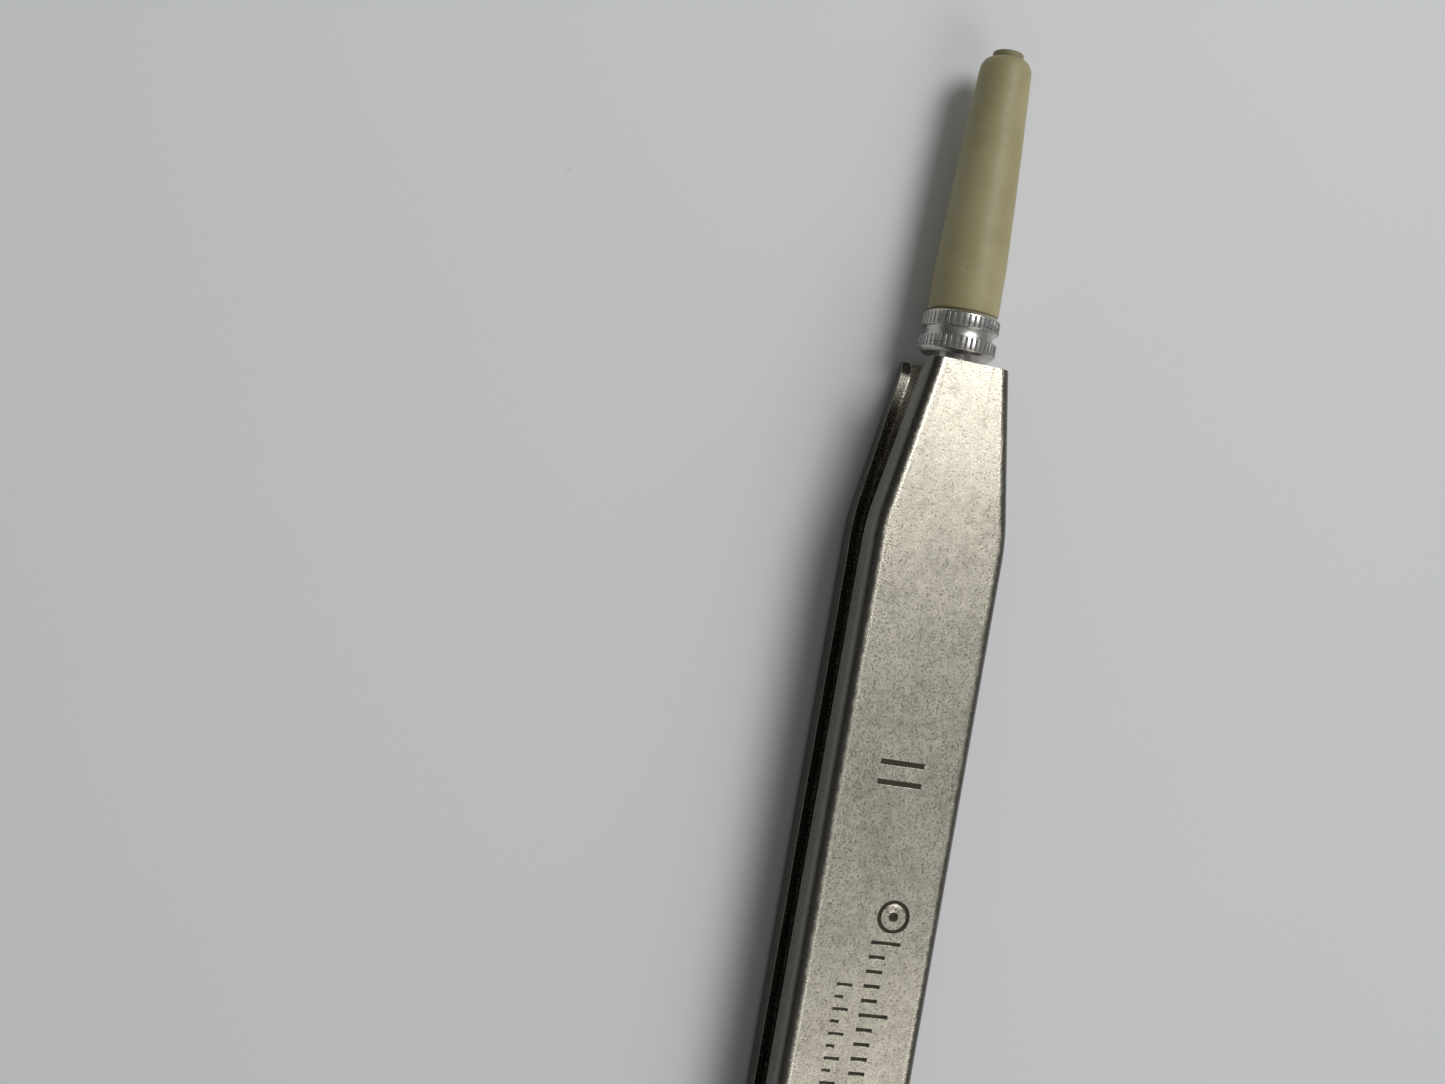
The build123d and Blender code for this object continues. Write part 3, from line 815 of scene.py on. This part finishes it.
class LIFTER_OT_machined(bpy.types.Operator):
    """Breaks the steel pieces' edges and gives them their finishes"""

    bl_idname = "lifter.machined"
    bl_label = "Steel pieces"

    def execute(self, context):
        for node, name, finish, edge_width, body in MACHINED:
            piece = broken_edge_copy(node, name, edge_width)
            piece.data.materials[0] = finish_material(finish)
            piece.data.materials[1] = finish_material("burnished_edge")
            fit_piece(piece, node, body)
        return {"FINISHED"}


class LIFTER_OT_nose(bpy.types.Operator):
    """Moulds the cream nose with its taper, round shoulder, lip and mould seam"""

    bl_idname = "lifter.nose"
    bl_label = "Moulded nose"

    def execute(self, context):
        nose = context.scene.lifter_nose
        inner = nose.bore_radius * 1.75

        def surface(x, radius, angle):
            """The mould seam, and a slight unevenness of the outer skin."""
            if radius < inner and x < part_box("nose_sleeve")[1].x - nose.lip_length:
                return 0.0
            seam = nose.seam_height * max(0.0, 1 - abs(math.sin(angle)) * SEAM_SHARPNESS)
            spot = Vector((x * 420, math.cos(angle) * 1.1, math.sin(angle) * 1.1))
            return seam * (radius > inner) + SKIN_WAVE * noise.noise(spot)

        piece = lathe("nose_moulding", nose_profile(nose), nose.turns, surface)
        for face in piece.data.polygons:
            face.use_smooth = True
        piece.data.set_sharp_from_angle(angle=NOSE_SMOOTH_ANGLE)
        piece.data.materials.append(finish_material("cream_moulding"))
        fit_piece(piece, "nose_sleeve", "frame")
        return {"FINISHED"}


class LIFTER_OT_knurl(bpy.types.Operator):
    """Adds two bands of fine ridges around the ferrule"""

    bl_idname = "lifter.knurl"
    bl_label = "Ferrule ridges"

    def execute(self, context):
        knurl = context.scene.lifter_knurl
        low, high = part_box("nose_ferrule")
        tree = knurl_tree()
        piece = add_object("ferrule_ridges", bpy.data.meshes.new("ferrule_ridges"))
        ridges = piece.modifiers.new("ridges", "NODES")
        quarter = (high.x - low.x) / 4
        ridges.node_group = tree
        set_inputs(ridges, tree, {
            "Count": knurl.count,
            "Radius": high.y - knurl.ridge_size * 0.45,
            "Ridge Size": knurl.ridge_size,
            "Band Length": knurl.band_length,
            "First Band": low.x + quarter - 0.02 * MM,
            "Second Band": high.x - quarter + 0.02 * MM,
            "Axis Height": AXIS_Z,
            "Material": finish_material("lathe_turned_steel"),
        })
        frozen(piece)
        if len(piece.data.polygons) < knurl.count:
            raise RuntimeError("the ferrule ridges came out empty")
        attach(piece, "frame")
        return {"FINISHED"}


class LIFTER_PT_panel(bpy.types.Panel):
    """Lists the making steps and their sizes"""

    bl_idname = "LIFTER_PT_panel"
    bl_label = "Hand Lifter"
    bl_space_type = "VIEW_3D"
    bl_region_type = "UI"
    bl_category = "Hand Lifter"

    def draw(self, context):
        layout = self.layout
        for step in STEPS:
            layout.operator(step.bl_idname)
        for group in SETTINGS:
            owner = getattr(context.scene, group)
            box = layout.box()
            for label in owner.bl_rna.properties.keys():
                if label not in ("rna_type", "name"):
                    box.prop(owner, label)


STEPS = (LIFTER_OT_stage, LIFTER_OT_machined, LIFTER_OT_nose, LIFTER_OT_knurl)
SETTINGS = {
    "lifter_finish": LifterFinish,
    "lifter_nose": LifterNose,
    "lifter_knurl": LifterKnurl,
    "lifter_stage": LifterStage,
}


def register():
    for group in SETTINGS.values():
        bpy.utils.register_class(group)
    for name, group in SETTINGS.items():
        setattr(bpy.types.Scene, name, bpy.props.PointerProperty(type=group))
    for step in STEPS:
        bpy.utils.register_class(step)
    bpy.utils.register_class(LIFTER_PT_panel)


def unregister():
    bpy.utils.unregister_class(LIFTER_PT_panel)
    for step in reversed(STEPS):
        bpy.utils.unregister_class(step)
    for name, group in SETTINGS.items():
        delattr(bpy.types.Scene, name)
        bpy.utils.unregister_class(group)


def main():
    register()
    bpy.ops.lifter.stage()
    bpy.ops.lifter.machined()
    bpy.ops.lifter.nose()
    bpy.ops.lifter.knurl()


if __name__ == "__main__":
    main()
